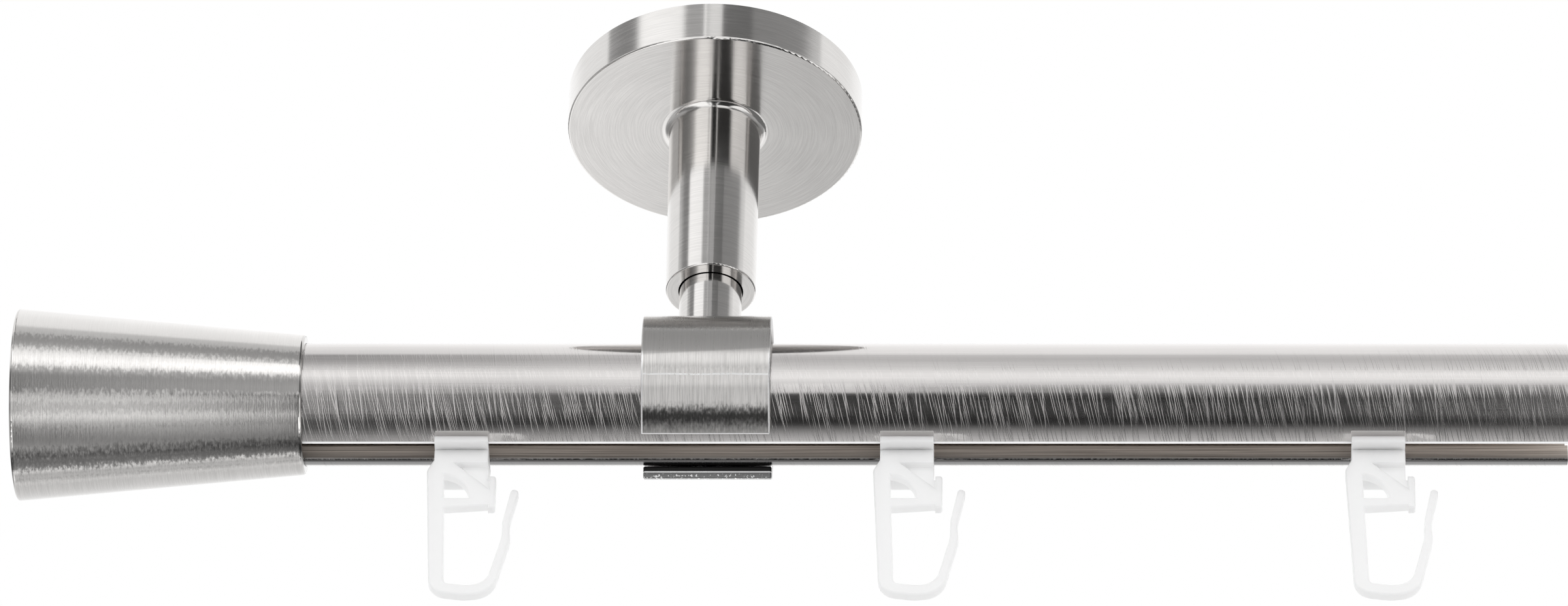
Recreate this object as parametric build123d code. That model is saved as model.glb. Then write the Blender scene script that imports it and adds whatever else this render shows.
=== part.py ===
from build123d import *
import math
import os

os.makedirs("parts", exist_ok=True)

# A curtain rod with an inner track, hung from the ceiling by one bracket.
# X runs along the rod, +Y away from the room's viewer, +Z up. Millimetres.
# The origin is the centre of the mounting disc's face on the ceiling.

# Rod: a steel strip rolled to a tube, its two edges turned in as the track's lips
ROD_DIAMETER = 20.0
ROD_WALL = 0.8
SLOT_WIDTH = 3.9
LIP_RISE = 3.3
LIP_CORNER = 0.5
LIP_TOP_ROUND = 0.25
ROD_RIGHT_END = 140.0

# Finial: a hollow cone that slips over the rod's left end
FINIAL_LENGTH = 46.9
FINIAL_MOUTH_WALL = 1.4
FINIAL_FLARE = 4.28
FINIAL_FACE_AT = -65.45
FINIAL_BORE_DEPTH = 25.0
FINIAL_STEP = 1.6
FINIAL_END_WALL = 3.5
FINIAL_EDGE_ROUND = 0.5
FINIAL_FIT = 0.05
ROD_END_PLAY = 0.3
FINIAL_SCREW_INSET = 16.0

# Clamp ring: a C of flat strip, open below, in whose two ends the rod lies
RING_WALL = 2.0
RING_WIDTH = 20.9
RING_GAP = 10.0
RING_EDGE_ROUND = 0.25
ROD_SEAT_FIT = 0.09
SPOT_FACE_DEPTH = 0.1
SCREW_HEAD_TO_ROD = 0.675

# Ceiling plate and its socket, one hollow-backed casting
PLATE_DIAMETER = 49.0
PLATE_HEIGHT = 7.5
PLATE_RIM_WALL = 2.7
PLATE_FLOOR = 2.2
PLATE_EDGE_ROUND = 0.35
CEILING_GAP = 0.2
SOCKET_LENGTH = 33.9
SOCKET_MOUTH_WALL = 2.05
SOCKET_TAPER = 0.2
SOCKET_COVE = 1.2
SOCKET_EDGE_ROUND = 0.25
SOCKET_END_WALL = 3.1

# Clamp pin, which slides in the socket
PIN_DIAMETER = 10.3
PIN_CLEARANCE = 0.2
PIN_HEADROOM = 9.0
PIN_SHOWN = 8.6
PIN_CHAMFER = 0.5

# Mounting disc, inside the plate's hollow back
DISC_CLEARANCE = 0.3
DISC_FLOOR_GAP = 0.7
DISC_GROOVE_DEPTH = 1.0
FIXING_SPACING = 26.0
FIXING_HOLE_DIAMETER = 4.5
FIXING_HEAD_DIAMETER = 8.6
FIXING_HEAD_DEPTH = 2.1

# Screws: thread play is the gap round a screw in its own thread
THREAD_PLAY = 0.05
TIP_CLEARANCE = 0.05
GRUB_RECESS = 0.2
GRUB_DIAMETER = 4.0
PLATE_SCREW_DIAMETER = 3.0
PLATE_SCREW_POINT = 90.0
SOCKET_GRUB_RISE = 8.0
SCREW_CHAMFER_SHARE = 0.25
KEY_SHARE = 0.5
KEY_DEPTH_SHARE = 0.4
CLAMP_SCREW_DIAMETER = 4.0
CLAMP_SCREW_LENGTH = 12.0
CLAMP_HEAD_DIAMETER = 7.6
CLAMP_HEAD_HEIGHT = 2.2
CLAMP_HEAD_ROUND = 1.5
CLAMP_KEY = 2.5
CLAMP_KEY_DEPTH = 1.3
CLAMP_HOLE_CLEARANCE = 0.2

# Gliders: a T-head on the lips, a neck in the slot and a flange under the rod
GLIDER_PLACES = (-39.6, 32.6, 109.0)
GLIDER_LENGTH = 8.7
HEAD_LENGTH = 8.0
HEAD_GRIP = 1.9
HEAD_THICKNESS = 2.0
HEAD_CROWN = 0.6
HEAD_CORNER = 0.8
NECK_LENGTH = 6.0
NECK_CLEARANCE = 0.2
TRACK_CLEARANCE = 0.1
FLANGE_DROP = 0.1
FLANGE_THICKNESS = 1.2
FLANGE_CLEARANCE = 0.3
GLIDER_ROUND = 0.2

# Pleat hooks, which swivel on a stud through their glider
HOOK_PLAY = 0.15
STUD_DIAMETER = 2.0
STUD_CLEARANCE = 0.15
STUD_HEAD_DIAMETER = 3.4
STUD_HEAD_HEIGHT = 1.3
STUD_HEAD_RIM = 0.45
STUD_TIP_DIAMETER = 1.6
BLOCK_HEIGHT = 2.65
BLOCK_FRONT = 2.85
HOOK_THICKNESS = 2.0
HOOK_LENGTH = 29.0
STEM_WIDTH = 2.65
SHOULDER_REACH = 1.1
SHOULDER_TOP = 1.9
SHOULDER_END = 4.1
SHOULDER_ROUND = 1.5
EYELET_RADIUS = 4.7
EYELET_FLOOR = 9.65
EYELET_CENTRE_BACK = 0.4
CROSSBAR_HEIGHT = 1.5
CROSSBAR_SPREAD = 0.6
STRUT_START = 1.8
STRUT_FALL = 0.9
END_FLANGE_OVERHANG = 1.45
END_FLANGE_WIDTH = 1.15
END_FLANGE_TOP = 5.3
END_FLANGE_FOOT = 0.5
END_FLANGE_ROUND = 0.5
WEB_THICKNESS = 0.65
HOOK_ROUND = 0.4

# The bend's outlines: (reach from the swivel, rise above the hook's lowest point, corner radius)
BEND_OUTSIDE = ((-4.35, 0.6, 3.2), (1.4, -0.2, 8.0), (5.9, 0.4, 4.0), (8.45, 11.1, 4.0), (8.2, 14.3, 8.0))
BEND_TIP = ((9.6, 20.8, 0.6), (8.33, 21.1, 0.6))
BEND_INSIDE = ((7.1, 14.7, 8.0), (7.05, 11.3, 8.0), (4.75, 2.1, 3.2), (1.4, 1.9, 8.0), (-1.95, 2.35, 0.8))

# How far a cut runs past what it cuts, how far one form of a moulding reaches into the next,
# and how near two heights are to count as one
OVERRUN = 1.0
OVERLAP = 0.5
TOUCH = 0.01

# The track's section about the rod's axis, and the finial on the rod
ROD_R = ROD_DIAMETER / 2
LIP_OUT = SLOT_WIDTH / 2 + ROD_WALL
LIP_TOP = -ROD_R + LIP_RISE
SLOT_EDGE = -math.sqrt(ROD_R**2 - (SLOT_WIDTH / 2) ** 2)
FINIAL_BORE_R = ROD_R + FINIAL_FIT
FINIAL_MOUTH_R = FINIAL_BORE_R + FINIAL_MOUTH_WALL
ROD_LEFT_END = FINIAL_FACE_AT - FINIAL_BORE_DEPTH + ROD_END_PLAY

# The ring, as large as lets its two inner corners seat the rod with the screw's head clear above it
SEAT_HALF = RING_GAP / 2
SEAT_DROP = math.sqrt((ROD_R + ROD_SEAT_FIT) ** 2 - SEAT_HALF**2)
RING_CEILING = ROD_R + SCREW_HEAD_TO_ROD + CLAMP_HEAD_HEIGHT - SPOT_FACE_DEPTH
SEAT_TO_CEILING = SEAT_DROP + RING_CEILING
RING_IN = (SEAT_TO_CEILING**2 + SEAT_HALF**2) / (2 * SEAT_TO_CEILING)
RING_OUT = RING_IN + RING_WALL
RING_LIFT = RING_CEILING - RING_IN
RING_TOP = RING_LIFT + RING_OUT

# Heights down from the ceiling, and the radii of the socket
PLATE_BACK = -PLATE_HEIGHT + PLATE_FLOOR
DISC_THICKNESS = -PLATE_BACK - DISC_FLOOR_GAP
DISC_R = PLATE_DIAMETER / 2 - PLATE_RIM_WALL - DISC_CLEARANCE
PLATE_SCREW_HEIGHT = -(CEILING_GAP + DISC_THICKNESS) / 2
SOCKET_MOUTH = -(PLATE_HEIGHT + SOCKET_LENGTH)
SOCKET_BORE_R = PIN_DIAMETER / 2 + PIN_CLEARANCE
SOCKET_MOUTH_R = SOCKET_BORE_R + SOCKET_MOUTH_WALL
SOCKET_BORE_END = PLATE_BACK - SOCKET_END_WALL
CEILING_TO_ROD = -SOCKET_MOUTH + PIN_SHOWN + RING_TOP
AT_ROD = Location((0, 0, -CEILING_TO_ROD))

# The glider and its hook, about the rod's axis, and the hook's outline, down from its block's top
HEAD_UNDERSIDE = LIP_TOP + TRACK_CLEARANCE
HEAD_TOP = HEAD_UNDERSIDE + HEAD_THICKNESS
FLANGE_TOP = SLOT_EDGE - FLANGE_DROP
FLANGE_HALF = SEAT_HALF - FLANGE_CLEARANCE
BLOCK_TOP = FLANGE_TOP - FLANGE_THICKNESS - HOOK_PLAY
STEM_LEFT = -GLIDER_LENGTH / 2 - SHOULDER_REACH
STEM_RIGHT = STEM_LEFT + STEM_WIDTH
STRUT_LEFT = STEM_RIGHT + STRUT_START
END_FLANGE_RIGHT = GLIDER_LENGTH / 2 + END_FLANGE_OVERHANG
END_FLANGE_LEFT = END_FLANGE_RIGHT - END_FLANGE_WIDTH
STRUT_END = -BLOCK_HEIGHT - (END_FLANGE_LEFT - STRUT_LEFT) * STRUT_FALL


def turned(points, about=Axis.Z):
    """A piece turned about an axis from its half section, whose points are (radius, height along the axis)."""
    if about == Axis.Z:
        section = Plane.XZ * make_face(Polyline(*points, close=True))
    else:
        section = Plane.XZ * make_face(Polyline(*[(along, out) for out, along in points], close=True))
    return revolve(section, about)


def bar(diameter, low, high, place=(0, 0)):
    """An upright round bar between two heights."""
    return Pos(place[0], place[1], low) * Cylinder(
        diameter / 2, high - low, align=(Align.CENTER, Align.CENTER, Align.MIN)
    )


def facing_rear(piece, x, y_tip, z):
    """Lays a screw that was made upright, tip down at its origin, so that its tip points at the viewer."""
    return Pos(x, y_tip, z) * Rot(-90, 0, 0) * piece


def hex_socket(across_flats, low, high):
    """A key's hexagonal hole between two heights."""
    return Pos(0, 0, low) * extrude(RegularPolygon(across_flats / math.sqrt(3), 6), high - low)


def grub_screw(diameter, length, point_angle=None):
    """A headless screw with a hex socket, upright with its tip at the origin: flat or, with an angle, pointed."""
    radius = diameter / 2
    bevel = radius * SCREW_CHAMFER_SHARE
    if point_angle is None:
        start = [(0, 0), (radius - bevel, 0), (radius, bevel)]
    else:
        start = [(0, 0), (radius, radius / math.tan(math.radians(point_angle / 2)))]
    end = [(radius, length - bevel / 2), (radius - bevel / 2, length), (0, length)]
    return turned(start + end) - hex_socket(diameter * KEY_SHARE, length * (1 - KEY_DEPTH_SHARE), length)


def rod():
    """The tube with its slot and lips, extruded from the rolled section."""
    slot = Pos(0, -ROD_R) * Rectangle(SLOT_WIDTH, ROD_R)
    tube = Circle(ROD_R) - Circle(ROD_R - ROD_WALL) - slot
    lip_foot = -math.sqrt((ROD_R - ROD_WALL / 2) ** 2 - LIP_OUT**2)
    lip_height = LIP_TOP - lip_foot
    lips = [
        Pos(side * (SLOT_WIDTH + ROD_WALL) / 2, lip_foot + lip_height / 2) * Rectangle(ROD_WALL, lip_height)
        for side in (-1, 1)
    ]
    section = tube + lips
    section = fillet(section.vertices().group_by(Axis.Y)[0], LIP_CORNER)
    tops = [corner for corner in section.vertices() if abs(corner.Y - LIP_TOP) < TOUCH]
    section = fillet(tops, LIP_TOP_ROUND)
    length = ROD_RIGHT_END - ROD_LEFT_END
    return AT_ROD * Pos(ROD_LEFT_END, 0, 0) * extrude(Plane.YZ * section, length)


def finial():
    """A cone bored for the rod, with a step that stops it and a cored hollow behind."""
    face = FINIAL_FACE_AT
    back = face - FINIAL_LENGTH
    core = FINIAL_BORE_R - FINIAL_STEP
    step = face - FINIAL_BORE_DEPTH
    section = [
        (0, back),
        (FINIAL_MOUTH_R + FINIAL_FLARE, back),
        (FINIAL_MOUTH_R, face),
        (FINIAL_BORE_R, face),
        (FINIAL_BORE_R, step),
        (core, step),
        (core, back + FINIAL_END_WALL),
        (0, back + FINIAL_END_WALL),
    ]
    cone = turned(section, Axis.X)
    rims = cone.edges().filter_by(GeomType.CIRCLE).group_by(Axis.X)
    cone = fillet(rims[0] + rims[-1].sort_by(SortBy.RADIUS)[-1:], FINIAL_EDGE_ROUND)
    hole = bar(GRUB_DIAMETER + 2 * THREAD_PLAY, 0, FINIAL_LENGTH)
    cone -= facing_rear(hole, face - FINIAL_SCREW_INSET, 0, 0)
    return AT_ROD * cone


def finial_grub_screw():
    """Seated on the rod through the finial's rear wall."""
    tip = ROD_R + TIP_CLEARANCE
    outside = FINIAL_MOUTH_R + FINIAL_FLARE * FINIAL_SCREW_INSET / FINIAL_LENGTH
    screw = grub_screw(GRUB_DIAMETER, outside - GRUB_RECESS - tip)
    return AT_ROD * facing_rear(screw, FINIAL_FACE_AT - FINIAL_SCREW_INSET, tip, 0)


def clamp_ring():
    """The C-shaped ring, with the clamp screw's spot face and hole above and the grub screw's hole behind."""
    strip = Circle(RING_OUT) - Circle(RING_IN)
    half_angle = math.asin(SEAT_HALF / RING_IN)
    reach = 2 * RING_OUT
    wedge = make_face(
        Polyline(
            (0, 0),
            (-reach * math.tan(half_angle), -reach),
            (reach * math.tan(half_angle), -reach),
            close=True,
        )
    )
    section = strip - wedge
    ring = extrude(Plane.YZ * section, RING_WIDTH / 2, both=True)
    ring = fillet(ring.edges(), RING_EDGE_ROUND)
    ring = Pos(0, 0, RING_LIFT) * ring
    ring -= bar(CLAMP_HEAD_DIAMETER + 2 * CLAMP_HOLE_CLEARANCE, 0, RING_CEILING + SPOT_FACE_DEPTH)
    ring -= bar(CLAMP_SCREW_DIAMETER + 2 * CLAMP_HOLE_CLEARANCE, 0, RING_TOP + OVERRUN)
    hole = bar(GRUB_DIAMETER + 2 * THREAD_PLAY, 0, 2 * RING_OUT)
    ring -= facing_rear(hole, 0, 0, 0)
    return AT_ROD * ring


def rod_grub_screw():
    """Through the ring's rear wall onto the rod."""
    tip = ROD_R + TIP_CLEARANCE
    outside = math.sqrt(RING_OUT**2 - RING_LIFT**2)
    screw = grub_screw(GRUB_DIAMETER, outside - GRUB_RECESS - tip)
    return AT_ROD * facing_rear(screw, 0, tip, 0)


def clamp_pin():
    """The pin, its foot hollowed to sit on the ring, tapped for the clamp screw."""
    top = SOCKET_BORE_END - PIN_HEADROOM
    foot = -CEILING_TO_ROD + RING_LIFT
    pin = bar(PIN_DIAMETER, foot, top)
    pin = chamfer(pin.edges().sort_by(Axis.Z)[-1], PIN_CHAMFER)
    saddle = Pos(0, 0, foot) * Rot(0, 90, 0) * Cylinder(RING_OUT, 2 * PIN_DIAMETER)
    pin -= saddle
    thread_end = -CEILING_TO_ROD + RING_TOP + CLAMP_SCREW_LENGTH
    return pin - bar(CLAMP_SCREW_DIAMETER + 2 * THREAD_PLAY, foot, thread_end)


def clamp_screw():
    """A button-head screw up through the ring's top into the pin."""
    seat = RING_CEILING + SPOT_FACE_DEPTH
    low = seat - CLAMP_HEAD_HEIGHT
    head = bar(CLAMP_HEAD_DIAMETER, low, seat)
    head = fillet(head.edges().sort_by(Axis.Z)[0], CLAMP_HEAD_ROUND)
    shank = bar(CLAMP_SCREW_DIAMETER, seat, seat + CLAMP_SCREW_LENGTH)
    bevel = CLAMP_SCREW_DIAMETER / 2 * SCREW_CHAMFER_SHARE
    shank = chamfer(shank.edges().sort_by(Axis.Z)[-1], bevel)
    return AT_ROD * (head + shank - hex_socket(CLAMP_KEY, low, low + CLAMP_KEY_DEPTH))


def ceiling_plate():
    """Plate and socket turned as one section: hollow back, cove under the plate, tapering stem, blind bore."""
    rim = PLATE_DIAMETER / 2
    hollow = rim - PLATE_RIM_WALL
    top_r = SOCKET_MOUTH_R + SOCKET_TAPER
    section = make_face(
        Polyline(
            (0, PLATE_BACK),
            (hollow, PLATE_BACK),
            (hollow, -CEILING_GAP),
            (rim, -CEILING_GAP),
            (rim, -PLATE_HEIGHT),
            (top_r, -PLATE_HEIGHT),
            (SOCKET_MOUTH_R, SOCKET_MOUTH),
            (SOCKET_BORE_R, SOCKET_MOUTH),
            (SOCKET_BORE_R, SOCKET_BORE_END),
            (0, SOCKET_BORE_END),
            close=True,
        )
    )

    def corner(x, z):
        return section.vertices().sort_by(lambda v: (v.X - x) ** 2 + (v.Y - z) ** 2)[0]

    section = fillet(corner(top_r, -PLATE_HEIGHT), SOCKET_COVE)
    section = fillet(corner(rim, -PLATE_HEIGHT), PLATE_EDGE_ROUND)
    section = fillet(corner(SOCKET_MOUTH_R, SOCKET_MOUTH), SOCKET_EDGE_ROUND)
    casting = revolve(Plane.XZ * section, Axis.Z)
    hole = bar(PLATE_SCREW_DIAMETER + 2 * THREAD_PLAY, 0, rim)
    casting -= facing_rear(hole, 0, hollow - OVERRUN, PLATE_SCREW_HEIGHT)
    hole = bar(GRUB_DIAMETER + 2 * THREAD_PLAY, 0, top_r)
    return casting - facing_rear(hole, 0, 0, SOCKET_MOUTH + SOCKET_GRUB_RISE)


def plate_grub_screw():
    """Pointed, in the plate's rear rim, its tip in the disc's groove."""
    tip = DISC_R - DISC_GROOVE_DEPTH + 2 * TIP_CLEARANCE
    outside = PLATE_DIAMETER / 2
    screw = grub_screw(PLATE_SCREW_DIAMETER, outside - GRUB_RECESS - tip, PLATE_SCREW_POINT)
    return facing_rear(screw, 0, tip, PLATE_SCREW_HEIGHT)


def socket_grub_screw():
    """In the socket's rear wall, on the pin."""
    tip = PIN_DIAMETER / 2 + TIP_CLEARANCE
    screw = grub_screw(GRUB_DIAMETER, SOCKET_MOUTH_R - GRUB_RECESS - tip)
    return facing_rear(screw, 0, tip, SOCKET_MOUTH + SOCKET_GRUB_RISE)


def mounting_disc():
    """The disc that is screwed to the ceiling, with a V groove round its edge and two countersunk holes."""
    disc = turned(
        [
            (0, -DISC_THICKNESS),
            (DISC_R, -DISC_THICKNESS),
            (DISC_R, PLATE_SCREW_HEIGHT - DISC_GROOVE_DEPTH),
            (DISC_R - DISC_GROOVE_DEPTH, PLATE_SCREW_HEIGHT),
            (DISC_R, PLATE_SCREW_HEIGHT + DISC_GROOVE_DEPTH),
            (DISC_R, 0),
            (0, 0),
        ]
    )
    head_r = FIXING_HEAD_DIAMETER / 2
    hole_r = FIXING_HOLE_DIAMETER / 2
    sink = turned(
        [
            (0, -DISC_THICKNESS),
            (head_r, -DISC_THICKNESS),
            (hole_r, -DISC_THICKNESS + FIXING_HEAD_DEPTH),
            (hole_r, 0),
            (0, 0),
        ]
    )
    for side in (-1, 1):
        disc -= Pos(side * FIXING_SPACING / 2, 0, 0) * sink
    return disc


def glider():
    """A crowned T-head over the lips, a neck through the slot and a flange below, with a hole for the stud."""
    half_neck = SLOT_WIDTH / 2 - NECK_CLEARANCE
    half_head = LIP_OUT + HEAD_GRIP
    shoulder = HEAD_TOP - HEAD_CROWN
    head_face = make_face(
        [
            Polyline(
                (-half_head, shoulder),
                (-half_head, HEAD_UNDERSIDE),
                (half_head, HEAD_UNDERSIDE),
                (half_head, shoulder),
            ),
            ThreePointArc((half_head, shoulder), (0, HEAD_TOP), (-half_head, shoulder)),
        ]
    )
    head = extrude(Plane.YZ * head_face, HEAD_LENGTH / 2, both=True)
    head = fillet(head.edges().filter_by(Axis.Z), HEAD_CORNER)
    neck_height = HEAD_UNDERSIDE - FLANGE_TOP
    neck = Pos(0, 0, FLANGE_TOP + neck_height / 2) * Box(NECK_LENGTH, 2 * half_neck, neck_height)
    neck = fillet(neck.edges().filter_by(Axis.Z), half_neck / 2)
    flange_low = FLANGE_TOP - FLANGE_THICKNESS
    flange = Pos(0, 0, flange_low + FLANGE_THICKNESS / 2) * Box(GLIDER_LENGTH, 2 * FLANGE_HALF, FLANGE_THICKNESS)
    flange = fillet(flange.edges(), GLIDER_ROUND)
    hole = bar(STUD_DIAMETER + 2 * STUD_CLEARANCE, flange_low - OVERRUN, HEAD_TOP + OVERRUN)
    return head + neck + flange - hole


def bend_face():
    """The stem and J of the hook, with the shoulder under its block: straight runs joined by arcs."""
    block_left = -GLIDER_LENGTH / 2
    shoulder = [
        (block_left, -SHOULDER_TOP, SHOULDER_ROUND / 2),
        (STEM_LEFT, -SHOULDER_END, SHOULDER_ROUND),
    ]
    bend = [(reach, rise - HOOK_LENGTH, radius) for reach, rise, radius in BEND_OUTSIDE + BEND_TIP + BEND_INSIDE]
    start = (block_left, -BLOCK_HEIGHT / 4)
    end = (STEM_RIGHT, -BLOCK_HEIGHT / 4)
    corners = shoulder + bend
    points = [start] + [(x, height) for x, height, radius in corners] + [end]
    outline = FilletPolyline(*points, radius=[radius for x, height, radius in corners])
    return make_face([outline, Line(end, start)])


def eyelet_face():
    """The crossbar, diagonal strut and end flange round the quarter-round eyelet."""
    crossbar_low = -EYELET_FLOOR - CROSSBAR_HEIGHT
    foot = crossbar_low - END_FLANGE_FOOT
    plate = make_face(
        Polyline(
            (STEM_RIGHT - OVERLAP, -BLOCK_HEIGHT / 2),
            (STRUT_LEFT, -BLOCK_HEIGHT / 2),
            (STRUT_LEFT, -BLOCK_HEIGHT),
            (END_FLANGE_LEFT, STRUT_END),
            (END_FLANGE_LEFT, -END_FLANGE_TOP),
            (END_FLANGE_RIGHT, -END_FLANGE_TOP),
            (END_FLANGE_RIGHT, foot),
            (END_FLANGE_LEFT, foot),
            (END_FLANGE_LEFT, crossbar_low),
            (STEM_RIGHT - OVERLAP, crossbar_low - CROSSBAR_SPREAD),
            close=True,
        )
    )
    plate = fillet(plate.vertices().group_by(Axis.X)[-1], END_FLANGE_ROUND)
    eyelet = Pos(STEM_RIGHT - EYELET_CENTRE_BACK, -EYELET_FLOOR) * Circle(EYELET_RADIUS)
    quadrant = Pos(STEM_RIGHT, -EYELET_FLOOR) * Rectangle(
        EYELET_RADIUS, EYELET_RADIUS, align=(Align.MIN, Align.MIN)
    )
    return plate - (eyelet & quadrant)


def web_face():
    """The thin web behind the strut, up to the block and the end flange."""
    block_right = GLIDER_LENGTH / 2
    return make_face(
        Polyline(
            (STRUT_LEFT, -BLOCK_HEIGHT / 2),
            (block_right, -BLOCK_HEIGHT / 2),
            (block_right, -END_FLANGE_TOP),
            (END_FLANGE_LEFT + OVERLAP, -END_FLANGE_TOP),
            (END_FLANGE_LEFT + OVERLAP, STRUT_END),
            (END_FLANGE_LEFT, STRUT_END - OVERLAP),
            close=True,
        )
    )


def hook():
    """The moulded hook at its glider's place: stud through the glider, block, and the flat J under it."""
    front = -BLOCK_FRONT
    flat = extrude(Plane.XZ * (bend_face() + eyelet_face()), -HOOK_THICKNESS)
    flat = fillet(flat.edges().filter_by(Plane.XZ), HOOK_ROUND)
    flat = Pos(0, front, 0) * flat
    web = Pos(0, front + HOOK_THICKNESS - WEB_THICKNESS, 0) * extrude(Plane.XZ * web_face(), -WEB_THICKNESS)
    depth = BLOCK_FRONT + FLANGE_HALF
    block = Pos(0, front + depth / 2, -BLOCK_HEIGHT / 2) * Box(GLIDER_LENGTH, depth, BLOCK_HEIGHT)
    block = fillet(block.edges(), GLIDER_ROUND)
    stud_r = STUD_DIAMETER / 2
    head_r = STUD_HEAD_DIAMETER / 2
    seat = HEAD_TOP + HOOK_PLAY - BLOCK_TOP
    stud = turned(
        [
            (0, -BLOCK_HEIGHT / 2),
            (stud_r, -BLOCK_HEIGHT / 2),
            (stud_r, seat),
            (head_r, seat),
            (head_r, seat + STUD_HEAD_RIM),
            (STUD_TIP_DIAMETER / 2, seat + STUD_HEAD_HEIGHT),
            (0, seat + STUD_HEAD_HEIGHT),
        ]
    )
    return Pos(0, 0, BLOCK_TOP) * (flat + web + block + stud)


one_glider = glider()
one_hook = hook()
pieces = {
    "mounting_disc": mounting_disc(),
    "ceiling_plate": ceiling_plate(),
    "plate_grub_screw": plate_grub_screw(),
    "socket_grub_screw": socket_grub_screw(),
    "clamp_pin": clamp_pin(),
    "clamp_ring": clamp_ring(),
    "clamp_screw": clamp_screw(),
    "rod_grub_screw": rod_grub_screw(),
    "rod": rod(),
    "finial": finial(),
    "finial_grub_screw": finial_grub_screw(),
}
for number, place in enumerate(GLIDER_PLACES, 1):
    pieces[f"glider_{number}"] = AT_ROD * Pos(place, 0, 0) * one_glider
    pieces[f"hook_{number}"] = AT_ROD * Pos(place, 0, 0) * one_hook

for name, piece in pieces.items():
    export_step(piece, f"parts/{name}.step")
print("rod axis", round(-CEILING_TO_ROD, 3), "rod from", round(ROD_LEFT_END, 2), "to", ROD_RIGHT_END)
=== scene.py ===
import math

import bmesh
import bpy
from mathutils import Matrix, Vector


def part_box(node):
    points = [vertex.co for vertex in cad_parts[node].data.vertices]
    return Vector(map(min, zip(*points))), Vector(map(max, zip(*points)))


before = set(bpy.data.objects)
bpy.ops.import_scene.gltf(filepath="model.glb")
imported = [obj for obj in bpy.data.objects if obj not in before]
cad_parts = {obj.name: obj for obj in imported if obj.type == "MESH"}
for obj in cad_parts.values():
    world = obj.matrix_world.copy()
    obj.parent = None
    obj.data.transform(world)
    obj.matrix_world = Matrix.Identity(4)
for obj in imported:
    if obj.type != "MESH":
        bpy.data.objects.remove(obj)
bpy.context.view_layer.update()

# The photograph: its size in pixels, and where the stem's and the rod's axes lie in it
PHOTO_WIDTH = 2400
PHOTO_HEIGHT = 927
PIXELS_PER_METRE = 9390
STEM_PIXEL_X = 1083.3
ROD_PIXEL_Y = 619.4

# The camera looks up at the ceiling from the front; its straight-ahead point lies right of the middle
LOOK_UP = math.radians(38)
AHEAD_PIXEL_X = 1600
CAMERA_DISTANCE = 1.6
SENSOR = 36.0

# The hall: height of the ceiling over the floor, and how far the floor reaches each way
HALL_HEIGHT = 6.0
FLOOR_HALF = 30.0

# Distance between brush lines, scratches and grains, and how long they run, in metres
BRUSH_PITCH = 0.0002
BRUSH_RUN = 0.006
FINE_BRUSH_PITCH = 0.00012
ROD_BRUSH_RUN = 0.024
SCRATCH_PITCH = 0.00015
SCRATCH_RUN = 0.01
GRAIN_PITCH = 0.00035
GRAIN_RUN = 0.000875

# How steeply the rod's scratches cross it, and by how many degrees grains fray the painted reflection bands
# of a turned piece
SCRATCH_LEAN = math.radians(77)
LONG_SCRATCH_LEAN = SCRATCH_LEAN + 0.12
GRAIN_SHIFT = 10.8

# Colours of the metals, and the painted shade of a turned piece's flat ends: how light they are painted
STEEL = (0.99, 0.97, 0.95, 1)
ROD_STEEL = (0.68, 0.66, 0.65, 1)
MILL_DARK = (0.4, 0.35, 0.31, 1)
MILL_LIGHT = (0.76, 0.69, 0.63, 1)
BLACK = (0, 0, 0, 1)
WHITE = (1, 1, 1, 1)
FLAT_END_PAINTED_SHADE = 0.5

rod_low, rod_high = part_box("rod")
ROD_R = (rod_high.y - rod_low.y) / 2
ROD_Z = rod_high.z - ROD_R
ring_low, ring_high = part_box("clamp_ring")
RING_Z = ring_high.z - (ring_high.y - ring_low.y) / 2
RING_HALF = ring_high.x
plate_low, plate_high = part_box("ceiling_plate")
PLATE_R = plate_high.x

# Soft edges, each from a start to an end. Marks fade towards the upper side of turned pieces, by degrees
UPPER_SIDE = (0.0, -7.2)

# The plate's face by its radius, its painted light from left to right, and the painted dark reflection down
# the stem's front by degrees from its front
FACE_INNER_EDGE = (0.008, 0.0095)
FACE_OUTER_EDGE = (PLATE_R - 0.0002, PLATE_R - 0.0004)
FACE_PAINTED_LIGHT = (-0.022, 0.022)
STEM_SURFACE = (0.0078, 0.0076)
DARK_REFLECTION_AT = 0.57
DARK_REFLECTION_EDGE = (4.58, 2.58)

# The ring's painted light: top shade, edge highlights, a scratch's highlight and the cut end's shade; by
# degrees round it, by x, by y, and by the height over the rod's axis
TOP_EDGE = (-3.78, -1.62)
TOP_SLANT = 270.0
TOP_PAINTED_SHADE = 0.28
LONG_MARK_AT = -20.52
LONG_MARK_EDGE = (0.79, 0.43)
LONG_MARK_WAVE = 1.44
SIDE_EDGE = (RING_HALF - 0.00035, RING_HALF - 0.00025)
LOWER_EDGE = (-62.35, -62.78)
REAR_FROM = (0.003, 0.004)
REAR_BELOW = (-0.0081, -0.0083)
CHIPS_BELOW = (-0.0097, -0.0101)

# The rod: its inside by the radius, the rest by y and by the height over its axis
INSIDE = (ROD_R - 0.0003, ROD_R - 0.0006)
SCRATCHED_BELOW = (0.001, -0.002)
MILL_DARKER_BELOW = (-0.0075, -0.0092)
SLOT_EDGE_START = (-0.0029, -0.0026)
SLOT_EDGE_END = (-0.0019, -0.002)
SLOT_EDGE_BELOW = (-0.0094, -0.0095)
BEHIND_SLOT = (0.0015, 0.0025)
BEHIND_SLOT_BELOW = (-0.0086, -0.0092)
BEHIND_SLOT_PAINTED_SHADOW = 0.86
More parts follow.
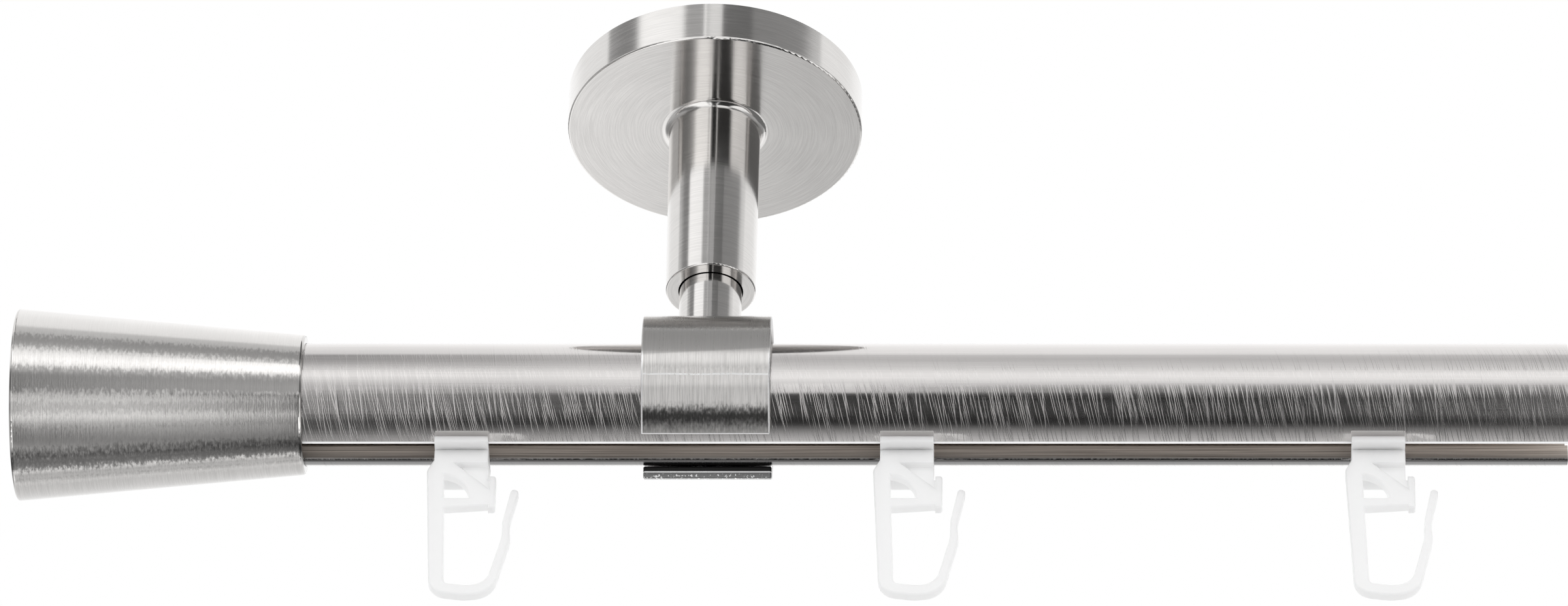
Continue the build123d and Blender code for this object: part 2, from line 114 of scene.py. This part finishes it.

# Painted reflections: light and dark bands painted into the turned pieces' colour round their axes, as
# (degrees, light) from 0 level in front to 90 above
RING_PAINTED_REFLECTIONS = (
    (-180, 0.6), (-66, 0.75), (-61, 0.55), (-58, 0.38), (-55, 0.2), (-52, 0.09), (-49.5, 0.07), (-47, 0.16),
    (-44.5, 0.44), (-42, 0.88), (-39.5, 1.0), (-31, 1.0), (-19, 0.92), (-14, 0.7), (-7, 0.72), (2, 0.76),
    (12, 0.74), (19, 0.7), (21, 0.95), (23, 0.7), (32, 0.8), (52, 0.85), (180, 0.65),
)
FINIAL_PAINTED_REFLECTIONS = (
    (-180, 0.6), (-96, 0.48), (-91, 0.56), (-87, 0.76), (-83, 0.62), (-79, 0.17), (-75, 0.1), (-71, 0.15),
    (-67, 0.42), (-63, 0.85), (-56, 1.0), (-53, 1.0), (-49.5, 0.78), (-46.5, 0.84), (-43, 0.76), (-40, 0.58),
    (-37, 0.6), (-34, 0.76), (-31, 0.67), (-27, 0.33), (-18, 0.35), (-14.5, 0.46), (-12, 0.75), (-8, 0.9),
    (-2, 0.78), (2, 0.42), (6, 0.36), (9, 0.42), (12, 0.63), (22, 0.7), (180, 0.7),
)

# The cut rear end of the ring, painted dark as shade with a painted highlight line, from its lower edge
# upwards: place as a share of its height, and grey
CUT_LOW = -0.0106
CUT_HEIGHT = 0.0025
CUT_PAINTED_SHADES = ((0.0, 0.3), (0.3, 0.18), (0.36, 0.18), (0.38, 0.9), (0.43, 0.9), (0.46, 0.02), (1.0, 0.03))

# The studio as the steel sees it: (degrees, grey level on steel) round the rod's axis, from -180 level
# behind, by -90 straight down, 0 level in front and 90 straight up, to 180 behind again
MIDDLE_BANDS = (
    (-180, 232), (-148, 228), (-140, 178), (-132, 178), (-122, 250), (-110, 250), (-104, 188), (-98, 162),
    (-90, 138), (-82, 102), (-74, 50), (-65, 36), (-54, 50), (-41, 54), (-31, 46), (-24, 40), (-16, 72),
    (-8, 108), (-1, 155), (5, 215), (14, 232), (22, 232), (40, 204), (58, 184), (70, 196), (75, 226),
    (110, 236), (180, 232),
)

# The same for the rod's left part, which mirrors the hall further to the left
LEFT_BANDS = (
    (-180, 232), (-150, 220), (-125, 210), (-118, 240), (-111, 215), (-104, 150), (-93, 98), (-82, 50),
    (-64, 42), (-54, 66), (-45, 92), (-30, 116), (-16, 142), (-9, 158), (4, 186), (22, 226), (31, 210),
    (40, 180), (55, 150), (70, 140), (76, 210), (110, 232), (180, 232),
)

# What stands to the left and right of the hall's middle, which mostly pieces brushed across the rod mirror
SIDE_BANDS = (
    (-180, 235), (-149, 232), (-130, 215), (-120, 170), (-110, 115), (-99, 92), (-86, 120), (-67, 165),
    (-52, 244), (-40, 244), (-31, 236), (-22, 226), (-9, 224), (3, 208), (10, 215), (17, 255), (38, 255),
    (44, 205), (55, 140), (68, 150), (77, 205), (90, 215), (135, 225), (180, 235),
)

# What stands far to the left and right, which is seen only from the sides and from behind
FAR_BANDS = (
    (-180, 125), (-150, 140), (-140, 165), (-102, 165), (-60, 130), (-20, 120), (10, 120), (32, 190),
    (93, 215), (142, 215), (156, 150), (180, 125),
)

# What stands high up in front, from left (-1) to right (1), which the stem and the plate's rim mirror
HIGH_BANDS = (
    (-1, 215), (-0.8, 212), (-0.78, 115), (-0.7, 118), (-0.67, 236), (-0.34, 230), (-0.28, 150), (0.06, 146),
    (0.1, 95), (0.36, 92), (0.4, 118), (0.75, 126), (0.79, 210), (1, 210),
)

# What stands low down in front, from left to right, which the stem mirrors by way of the plate
LOW_BANDS = (
    (-1, 110), (-0.74, 105), (-0.64, 160), (-0.55, 245), (-0.22, 245), (-0.16, 120), (0.1, 45), (0.5, 45),
    (0.58, 235), (0.8, 225), (1, 225),
)

# Where the bands stand: soft edges by x, from -1 to 1, and reaches by degrees or x as (low, high, blur)
LEFT_FROM = (-0.045, -0.07)
SIDES_FROM = ((-0.084, -0.094), (0.064, 0.078))
HIGH_FROM = ((-0.1, -0.12), (0.065, 0.085))
LOW_FROM = ((-0.15, -0.18), (0.09, 0.11))
FAR_FROM = (0.45, 0.65)
ENDS_FROM = (0.84, 0.97)
DIM_FROM = (0.2, 0.25)
HIGH_REACH = (32, 93, 2)
LOW_REACH = (-102, -20, 3)
DIM_REACH = (-148, -102, 3)
GLINT_REACH = (-15, 3, 3)
GLINT_SPAN = (-0.04, -0.016, 0.006)

# The share of light that the steel gives back, the world's strength, and lights of the world's plain parts
STEEL_SHINE = 0.7
WORLD_STRENGTH = 1.5
DIFFUSE_LIGHT = 0.72
DIM_LIGHT = 0.12
END_LEVEL = 150


def linear(level):
    """The light that an 8-bit grey level of a picture stands for, 0 to 1."""
    share = level / 255
    return share / 12.92 if share <= 0.04045 else ((share + 0.055) / 1.055) ** 2.4


def seen_level(level):
    """The world's light that steel reflects as a grey level of a picture."""
    return min(1.0, linear(level) / STEEL_SHINE / WORLD_STRENGTH)


def grey(light):
    return light, light, light, 1


class Tree:
    """A node tree with short calls for the nodes used here. An input is a number, a tuple or a socket."""

    def __init__(self, tree):
        self.nodes = tree.nodes
        self.links = tree.links
        self.nodes.clear()

    def put(self, node, socket, value):
        if isinstance(value, bpy.types.NodeSocket):
            self.links.new(value, node.inputs[socket])
        else:
            node.inputs[socket].default_value = value

    def math(self, operation, *values):
        node = self.nodes.new("ShaderNodeMath")
        node.operation = operation
        for socket, value in enumerate(values):
            self.put(node, socket, value)
        return node.outputs[0]

    def plus(self, a, b):
        return self.math("ADD", a, b)

    def minus(self, a, b):
        return self.math("SUBTRACT", a, b)

    def times(self, a, b):
        return self.math("MULTIPLY", a, b)

    def larger(self, a, b):
        return self.math("MAXIMUM", a, b)

    def size(self, a):
        return self.math("ABSOLUTE", a)

    def radius(self, a, b):
        """The distance from an axis, from the two offsets across it."""
        return self.math("SQRT", self.plus(self.math("POWER", a, 2.0), self.math("POWER", b, 2.0)))

    def degrees(self, side, ahead):
        """The angle of a direction, 0 straight ahead and 90 to the side."""
        return self.times(self.math("ARCTAN2", side, ahead), 180 / math.pi)

    def span(self, value, low, high):
        """Maps 0..1 to low..high."""
        return self.plus(self.times(value, high - low), low)

    def smooth(self, value, start, end):
        """0 up to start, 1 from end on, with soft ends."""
        node = self.nodes.new("ShaderNodeMapRange")
        node.interpolation_type = "SMOOTHSTEP"
        self.put(node, "Value", value)
        self.put(node, "From Min", start)
        self.put(node, "From Max", end)
        return node.outputs[0]

    def within(self, value, low, high, blur):
        """1 between two places, with soft edges, and 0 outside."""
        start = self.smooth(value, low - blur, low + blur)
        return self.times(start, self.smooth(value, high + blur, high - blur))

    def vector(self, x, y, z):
        node = self.nodes.new("ShaderNodeCombineXYZ")
        for socket, value in enumerate((x, y, z)):
            self.put(node, socket, value)
        return node.outputs[0]

    def split(self, vector):
        node = self.nodes.new("ShaderNodeSeparateXYZ")
        self.put(node, 0, vector)
        return node.outputs

    def noise(self, vector, scale=1.0, detail=2.0, rough=0.5):
        node = self.nodes.new("ShaderNodeTexNoise")
        self.put(node, "Vector", vector)
        self.put(node, "Scale", scale)
        self.put(node, "Detail", detail)
        self.put(node, "Roughness", rough)
        return node.outputs[0]

    def stretched(self, places, pitches):
        """Where a noise is read so that its grains are as large as the pitches, in metres."""
        return self.vector(*(self.times(place, 1 / pitch) for place, pitch in zip(places, pitches)))

    def ramp(self, value, stops, low, high):
        """A ramp from low to high through (value, grey) stops."""
        node = self.nodes.new("ShaderNodeValToRGB")
        elements = node.color_ramp.elements
        for index, (place, light) in enumerate(stops):
            share = (place - low) / (high - low)
            element = elements[index] if index < 2 else elements.new(share)
            element.position = share
            element.color = grey(light)
        self.put(node, 0, self.times(self.minus(value, low), 1 / (high - low)))
        return node.outputs[0]

    def mix(self, factor, a, b):
        node = self.nodes.new("ShaderNodeMix")
        node.data_type = "RGBA"
        self.put(node, 0, factor)
        self.put(node, 6, a)
        self.put(node, 7, b)
        return node.outputs[2]

    def bump(self, height, distance, normal=None):
        node = self.nodes.new("ShaderNodeBump")
        self.put(node, "Height", height)
        self.put(node, "Distance", distance)
        if normal is not None:
            self.put(node, "Normal", normal)
        return node.outputs[0]

    def place(self):
        """Where a point lies on the object, in metres, whatever pose it is in."""
        return self.nodes.new("ShaderNodeTexCoord").outputs["Object"]

    def flat_end(self):
        """1 on faces that look along X, the flat ends of pieces round the rod's axis, and 0 elsewhere."""
        along = self.split(self.nodes.new("ShaderNodeTexCoord").outputs["Normal"])[0]
        return self.smooth(self.size(along), 0.8, 0.95)

    def angle_round(self, height):
        """Degrees round an axis along X at a height: -90 below, 0 in front, 90 above, 180 behind."""
        x, y, z = self.split(self.place())
        return self.degrees(self.minus(z, height), self.times(y, -1.0))

    def surface(self, colour, roughness, normal=None, axis=None, **constants):
        """The principled shader and the output. Constants are set on its own sockets.

        Where there is an axis, highlights are drawn out by brush lines that run round it."""
        shader = self.nodes.new("ShaderNodeBsdfPrincipled")
        self.put(shader, "Base Color", colour)
        self.put(shader, "Roughness", roughness)
        if normal is not None:
            self.put(shader, "Normal", normal)
        for name, value in constants.items():
            shader.inputs[name.replace("_", " ")].default_value = value
        if axis is not None:
            tangent = self.nodes.new("ShaderNodeTangent")
            tangent.direction_type = "RADIAL"
            tangent.axis = axis
            self.put(shader, "Tangent", tangent.outputs[0])
        output = self.nodes.new("ShaderNodeOutputMaterial")
        self.links.new(shader.outputs[0], output.inputs[0])
        return shader


def new_material(name):
    material = bpy.data.materials.new(name)
    material.use_nodes = True
    return material, Tree(material.node_tree)


def dress(material, *names):
    """Gives CAD nodes a material."""
    for name in names:
        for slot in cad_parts[name].material_slots:
            slot.material = material


def short_grain(tree, point):
    """Noise of short grains. A point is its place across the lines and twice along them, in metres."""
    return tree.noise(tree.stretched(point, (GRAIN_PITCH, GRAIN_RUN, GRAIN_RUN)))


def brushed_steel(name, places, axis, light, roughness, pitch, depth, anisotropy, contrast, finish=None):
    """Steel with brush lines that run round an axis.

    places(tree) gives a point's place across the lines and twice along them, in metres. light(tree, dip)
    says how light the steel is where the lines dip. finish(tree, colour) changes the colour last."""
    material, tree = new_material(name)
    point = places(tree)
    lines = tree.noise(tree.stretched(point, (pitch, BRUSH_RUN, BRUSH_RUN)), detail=3.0, rough=0.6)
    grain = short_grain(tree, point)
    patches = tree.noise(tree.place(), scale=90.0)
    dip = tree.times(tree.smooth(lines, 0.67, 0.33), contrast)
    shade = tree.times(light(tree, dip), tree.span(patches, 0.96, 1.04))
    colour = tree.mix(shade, BLACK, STEEL)
    if finish:
        colour = finish(tree, colour)
    rough = tree.times(tree.span(lines, roughness * 0.7, roughness * 1.3), tree.span(patches, 0.85, 1.15))
    normal = tree.bump(lines, depth, normal=tree.bump(grain, depth))
    tree.surface(
        colour, rough, normal, axis, Metallic=1.0, Anisotropic=anisotropy, Anisotropic_Rotation=0.25
    )
    return material


def around_rod(tree):
    """The place across lines that run round the rod's axis, and along them."""
    return tree.split(tree.place())


def around_stem(tree):
    """The same for lines that run round the stem's axis, on the plate's faces as on the stem."""
    x, y, z = tree.split(tree.place())
    return tree.plus(tree.radius(x, y), z), x, y


def turned_light(painted_reflections, height):
    """The light of a piece turned round an axis along X at a height, with bands of painted reflection in its
    colour.
    """

    def light(tree, dip):
        around = tree.angle_round(height)
        dip = tree.times(dip, tree.span(tree.smooth(around, *UPPER_SIDE), 0.3, 1.0))
        grain = short_grain(tree, around_rod(tree))
        frayed = tree.plus(around, tree.times(tree.minus(grain, 0.5), GRAIN_SHIFT))
        # Painted reflections: bands of light and dark painted into the colour by the angle round the axis
        bands = tree.ramp(frayed, painted_reflections, -180, 180)
        # Painted shade: the flat ends take one even painted shade in place of the bands
        bands = tree.mix(tree.flat_end(), bands, grey(FLAT_END_PAINTED_SHADE))
        return tree.times(tree.minus(1.0, dip), bands)

    return light


def plate_light(tree, dip):
    """The light of the plate and its stem, with painted light: the face is painted lighter to the left and
    duller to the right, and a painted dark reflection runs down the stem's front.
    """
    x, y, z = tree.split(tree.place())
    radius = tree.radius(x, y)
    face = tree.times(tree.smooth(radius, *FACE_OUTER_EDGE), tree.smooth(radius, *FACE_INNER_EDGE))
    # Painted light: the face's colour goes from lighter on the left to darker on the right
    painted_side_light = tree.times(face, tree.minus(0.5, tree.smooth(x, *FACE_PAINTED_LIGHT)))
    # Painted reflection: a dark line painted down the front of the stem and the pin
    front = tree.degrees(x, tree.times(y, -1.0))
    stem_dark_reflection = tree.smooth(tree.size(tree.minus(front, DARK_REFLECTION_AT)), *DARK_REFLECTION_EDGE)
    stem_dark_reflection = tree.times(stem_dark_reflection, tree.smooth(radius, *STEM_SURFACE))
    light = tree.times(tree.minus(1.0, dip), tree.span(painted_side_light, 0.78, 1.03))
    return tree.times(light, tree.span(stem_dark_reflection, 1.0, 0.5))


def ring_finish(tree, colour):
    """The ring's painted light: a painted shade over its top, painted highlights on its edges and along one
    long scratch, and its cut rear end under the rod painted dark as shade with a painted highlight line, and
    chipped.
    """
    x, y, z = tree.split(tree.place())
    low = tree.minus(z, ROD_Z)
    around = tree.angle_round(RING_Z)
    nicks = tree.noise(tree.place(), scale=2500.0)

    # Painted shade: above a slanting line the top is darkened, standing in for a darker reflection
    slanting = tree.minus(around, tree.times(x, TOP_SLANT))
    colour = tree.mix(tree.smooth(slanting, *TOP_EDGE), colour, tree.mix(TOP_PAINTED_SHADE, colour, BLACK))

    # One long scratch, painted white as a highlight
    wave = tree.times(tree.minus(tree.noise(tree.place(), scale=300.0), 0.5), LONG_MARK_WAVE)
    off_mark = tree.size(tree.minus(tree.plus(around, wave), LONG_MARK_AT))
    mark = tree.times(tree.smooth(off_mark, *LONG_MARK_EDGE), tree.smooth(nicks, 0.3, 0.45))

    # Painted highlights: the side edges below the top and the lower edge are painted white
    edge = tree.times(tree.smooth(tree.size(x), *SIDE_EDGE), tree.smooth(around, *UPPER_SIDE))
    edge = tree.larger(edge, tree.smooth(around, *LOWER_EDGE))
    edge = tree.times(edge, tree.minus(1.0, tree.flat_end()))
    colour = tree.mix(tree.larger(edge, mark), colour, WHITE)

    # Painted shade on the cut rear end: greys down to black with one painted highlight line; the chips are
    # real nicks
    rear = tree.times(tree.smooth(y, *REAR_FROM), tree.smooth(low, *REAR_BELOW))
    cut = tree.ramp(tree.times(tree.minus(low, CUT_LOW), 1 / CUT_HEIGHT), CUT_PAINTED_SHADES, 0, 1)
    chips = tree.times(tree.smooth(nicks, 0.56, 0.64), tree.smooth(low, *CHIPS_BELOW))
    return tree.mix(rear, colour, tree.larger(cut, chips))


def leaning_scratches(tree, x, round_rod, lean, run, pitch):
    """Noise drawn out along lines that lean by an angle from the rod's axis."""
    cos_lean, sin_lean = math.cos(lean), math.sin(lean)
    along = tree.minus(tree.times(x, cos_lean), tree.times(round_rod, sin_lean))
    across = tree.plus(tree.times(x, sin_lean), tree.times(round_rod, cos_lean))
    drawn_out = tree.vector(tree.times(along, 1 / run), tree.times(across, 1 / pitch), 0.0)
    return tree.noise(drawn_out, detail=0.6)


def rod_steel():
    """Steel brushed along the rod, with leaning sanding scratches round it and a mill finish inside."""
    material, tree = new_material("rod_steel")
    x, y, z = tree.split(tree.place())
    up = tree.minus(z, ROD_Z)
    round_rod = tree.times(tree.math("ARCTAN2", y, up), ROD_R)
    fine = leaning_scratches(tree, x, round_rod, SCRATCH_LEAN, SCRATCH_RUN, SCRATCH_PITCH)
    long = leaning_scratches(tree, x, round_rod, LONG_SCRATCH_LEAN, 2.5 * SCRATCH_RUN, 2 * SCRATCH_PITCH)
    marks = tree.larger(tree.smooth(fine, 0.55, 0.78), tree.smooth(long, 0.6, 0.78))
    marks = tree.times(marks, tree.span(tree.smooth(up, *SCRATCHED_BELOW), 0.3, 1.0))
    pitches = (ROD_BRUSH_RUN, FINE_BRUSH_PITCH, FINE_BRUSH_PITCH)
    lines = tree.noise(tree.stretched((x, y, up), pitches))
    patches = tree.noise(tree.place(), scale=70.0)

    shade = tree.times(tree.span(lines, 0.9, 1.05), tree.span(patches, 0.96, 1.04))
    colour = tree.mix(shade, BLACK, ROD_STEEL)
    inside = tree.smooth(tree.radius(y, up), *INSIDE)
    mill = tree.mix(tree.smooth(lines, 0.35, 0.65), MILL_DARK, MILL_LIGHT)
    mill = tree.mix(tree.span(tree.smooth(up, *MILL_DARKER_BELOW), 1.0, 0.62), BLACK, mill)
    colour = tree.mix(inside, colour, mill)

    # Painted highlight: the slot's front edge, rounded by the rolling, is painted white; painted shadow: the
    # strip behind the slot is painted dark
    edge = tree.times(tree.smooth(y, *SLOT_EDGE_START), tree.smooth(y, *SLOT_EDGE_END))
    edge = tree.times(edge, tree.smooth(up, *SLOT_EDGE_BELOW))
    colour = tree.mix(edge, colour, WHITE)
    behind = tree.times(tree.smooth(y, *BEHIND_SLOT), tree.smooth(up, *BEHIND_SLOT_BELOW))
    colour = tree.mix(tree.times(behind, BEHIND_SLOT_PAINTED_SHADOW), colour, BLACK)

    rough = tree.plus(tree.span(lines, 0.08, 0.13), tree.times(marks, 0.14))
    rough = tree.larger(rough, tree.times(inside, 0.5))
    normal = tree.bump(tree.plus(tree.times(lines, 0.3), marks), 0.000005)
    shader = tree.surface(colour, rough, normal, "X", Anisotropic=0.3)
    tree.put(shader, "Metallic", tree.span(tree.larger(inside, edge), 1.0, 0.0))
    return material


def zinc(name, tint, roughness):
    """Plated metal, faintly mottled."""
    material, tree = new_material(name)
    mottle = tree.noise(tree.place(), scale=900.0, detail=3.0)
    colour = tree.mix(tree.span(mottle, 0.85, 1.1), BLACK, tint)
    rough = tree.span(mottle, roughness * 0.8, roughness * 1.2)
    tree.surface(colour, rough, tree.bump(mottle, 0.00001), Metallic=1.0)
    return material


def moulded_plastic(name, light):
    """White plastic that light sinks into, with the faint waviness of a moulding."""
    material, tree = new_material(name)
    waves = tree.noise(tree.place(), scale=450.0)
    grain = tree.noise(tree.place(), scale=9000.0)
    tree.surface(
        tree.mix(tree.span(waves, 0.97, 1.01), BLACK, grey(light)),
        tree.span(waves, 0.32, 0.44),
        tree.bump(grain, 0.000003, normal=tree.bump(waves, 0.00003)),
        IOR=1.5,
        Subsurface_Weight=0.85,
        Subsurface_Radius=(0.004, 0.004, 0.004),
        Subsurface_Scale=1.0,
    )
    return material


def materials():
    plate = brushed_steel(
        "plate_steel",
        around_stem,
        "Z",
        plate_light,
        roughness=0.13,
        pitch=BRUSH_PITCH,
        depth=0.0000015,
        anisotropy=0.5,
        contrast=0.08,
    )
    dress(plate, "ceiling_plate", "clamp_pin")
    ring = brushed_steel(
        "ring_steel",
        around_rod,
        "X",
        turned_light(RING_PAINTED_REFLECTIONS, RING_Z),
        roughness=0.3,
        pitch=BRUSH_PITCH,
        depth=0.000003,
        anisotropy=1.0,
        contrast=0.26,
        finish=ring_finish,
    )
    dress(ring, "clamp_ring")
    finial = brushed_steel(
        "finial_steel",
        around_rod,
        "X",
        turned_light(FINIAL_PAINTED_REFLECTIONS, ROD_Z),
        roughness=0.065,
        pitch=FINE_BRUSH_PITCH,
        depth=0.0000012,
        anisotropy=0.6,
        contrast=0.14,
    )
    dress(finial, "finial")
    dress(rod_steel(), "rod")
    dress(zinc("disc_zinc", (0.58, 0.6, 0.62, 1), 0.4), "mounting_disc")
    dress(
        zinc("screw_steel", (0.3, 0.3, 0.31, 1), 0.35),
        "plate_grub_screw",
        "socket_grub_screw",
        "clamp_screw",
        "rod_grub_screw",
        "finial_grub_screw",
    )
    dress(moulded_plastic("glider_plastic", 0.96), "glider_1", "glider_2", "glider_3")
    dress(moulded_plastic("hook_plastic", 0.97), "hook_1", "hook_2", "hook_3")


def studio_world():
    """White for the camera, even light for soft surfaces and a studio's bands for shiny ones."""
    world = bpy.data.worlds.new("studio")
    world.use_nodes = True
    tree = Tree(world.node_tree)
    x, y, z = tree.split(tree.nodes.new("ShaderNodeTexCoord").outputs["Generated"])
    angle = tree.degrees(z, tree.times(y, -1.0))
    sideways = tree.size(x)

    def bands(value, stops, reach):
        return tree.ramp(value, [(place, seen_level(level)) for place, level in stops], -reach, reach)

    def outside(left, right):
        """1 outside two x places, given as (start, end) of their soft edges, and 0 between them."""
        return tree.larger(tree.smooth(x, *right), tree.smooth(x, *left))

    light = bands(angle, MIDDLE_BANDS, 180)
    light = tree.mix(tree.smooth(x, *LEFT_FROM), light, bands(angle, LEFT_BANDS, 180))
    glint = tree.times(tree.within(angle, *GLINT_REACH), tree.within(x, *GLINT_SPAN))
    light = tree.mix(glint, light, WHITE)
    light = tree.mix(outside(*SIDES_FROM), light, bands(angle, SIDE_BANDS, 180))
    light = tree.mix(tree.smooth(sideways, *FAR_FROM), light, bands(angle, FAR_BANDS, 180))
    high = tree.times(tree.within(angle, *HIGH_REACH), outside(*HIGH_FROM))
    light = tree.mix(high, light, bands(x, HIGH_BANDS, 1))
    low = tree.times(tree.within(angle, *LOW_REACH), outside(*LOW_FROM))
    light = tree.mix(low, light, bands(x, LOW_BANDS, 1))
    dim = tree.times(tree.within(angle, *DIM_REACH), tree.smooth(x, *DIM_FROM))
    light = tree.mix(dim, light, grey(DIM_LIGHT))
    light = tree.mix(tree.smooth(sideways, *ENDS_FROM), light, grey(seen_level(END_LEVEL)))

    path = tree.nodes.new("ShaderNodeLightPath")
    light = tree.mix(path.outputs["Is Diffuse Ray"], light, grey(DIFFUSE_LIGHT))
    seen = tree.larger(path.outputs["Is Camera Ray"], path.outputs["Is Transmission Ray"])
    light = tree.mix(seen, light, grey(1 / WORLD_STRENGTH))
    background = tree.nodes.new("ShaderNodeBackground")
    tree.put(background, "Color", light)
    tree.put(background, "Strength", WORLD_STRENGTH)
    output = tree.nodes.new("ShaderNodeOutputWorld")
    tree.links.new(background.outputs[0], output.inputs[0])
    bpy.context.scene.world = world


def floor():
    """A wide pale floor, the hall's height below the ceiling, which steel and plastic don't see."""
    mesh = bpy.data.meshes.new("floor")
    grid = bmesh.new()
    bmesh.ops.create_grid(grid, x_segments=1, y_segments=1, size=FLOOR_HALF)
    bmesh.ops.translate(grid, verts=grid.verts, vec=(0, 0, -HALL_HEIGHT))
    grid.to_mesh(mesh)
    grid.free()
    plane = bpy.data.objects.new("floor", mesh)
    bpy.context.collection.objects.link(plane)
    material, tree = new_material("floor")
    speckle = tree.noise(tree.place(), scale=30.0)
    tree.surface(tree.mix(speckle, grey(0.93), grey(0.97)), 0.9)
    mesh.materials.append(material)
    plane.visible_glossy = False
    plane.visible_diffuse = False


def camera():
    """Looks up at the rod at the photograph's angle, with the photograph's frame."""
    data = bpy.data.cameras.new("camera")
    data.sensor_fit = "HORIZONTAL"
    data.sensor_width = SENSOR
    data.lens = SENSOR * CAMERA_DISTANCE * PIXELS_PER_METRE / PHOTO_WIDTH
    data.shift_x = (PHOTO_WIDTH / 2 - AHEAD_PIXEL_X) / PHOTO_WIDTH
    data.clip_start = 0.05
    data.clip_end = 50.0
    eye = bpy.data.objects.new("camera", data)
    bpy.context.collection.objects.link(eye)
    ahead = Vector((0, math.cos(LOOK_UP), math.sin(LOOK_UP)))
    up = Vector((0, -math.sin(LOOK_UP), math.cos(LOOK_UP)))
    target = Vector(((AHEAD_PIXEL_X - STEM_PIXEL_X) / PIXELS_PER_METRE, 0, ROD_Z))
    target += up * (ROD_PIXEL_Y - PHOTO_HEIGHT / 2) / PIXELS_PER_METRE
    eye.location = target - ahead * CAMERA_DISTANCE
    eye.rotation_euler = (math.pi / 2 + LOOK_UP, 0, 0)
    bpy.context.scene.camera = eye


camera()
studio_world()
floor()
materials()
bpy.context.scene.view_settings.view_transform = "Standard"
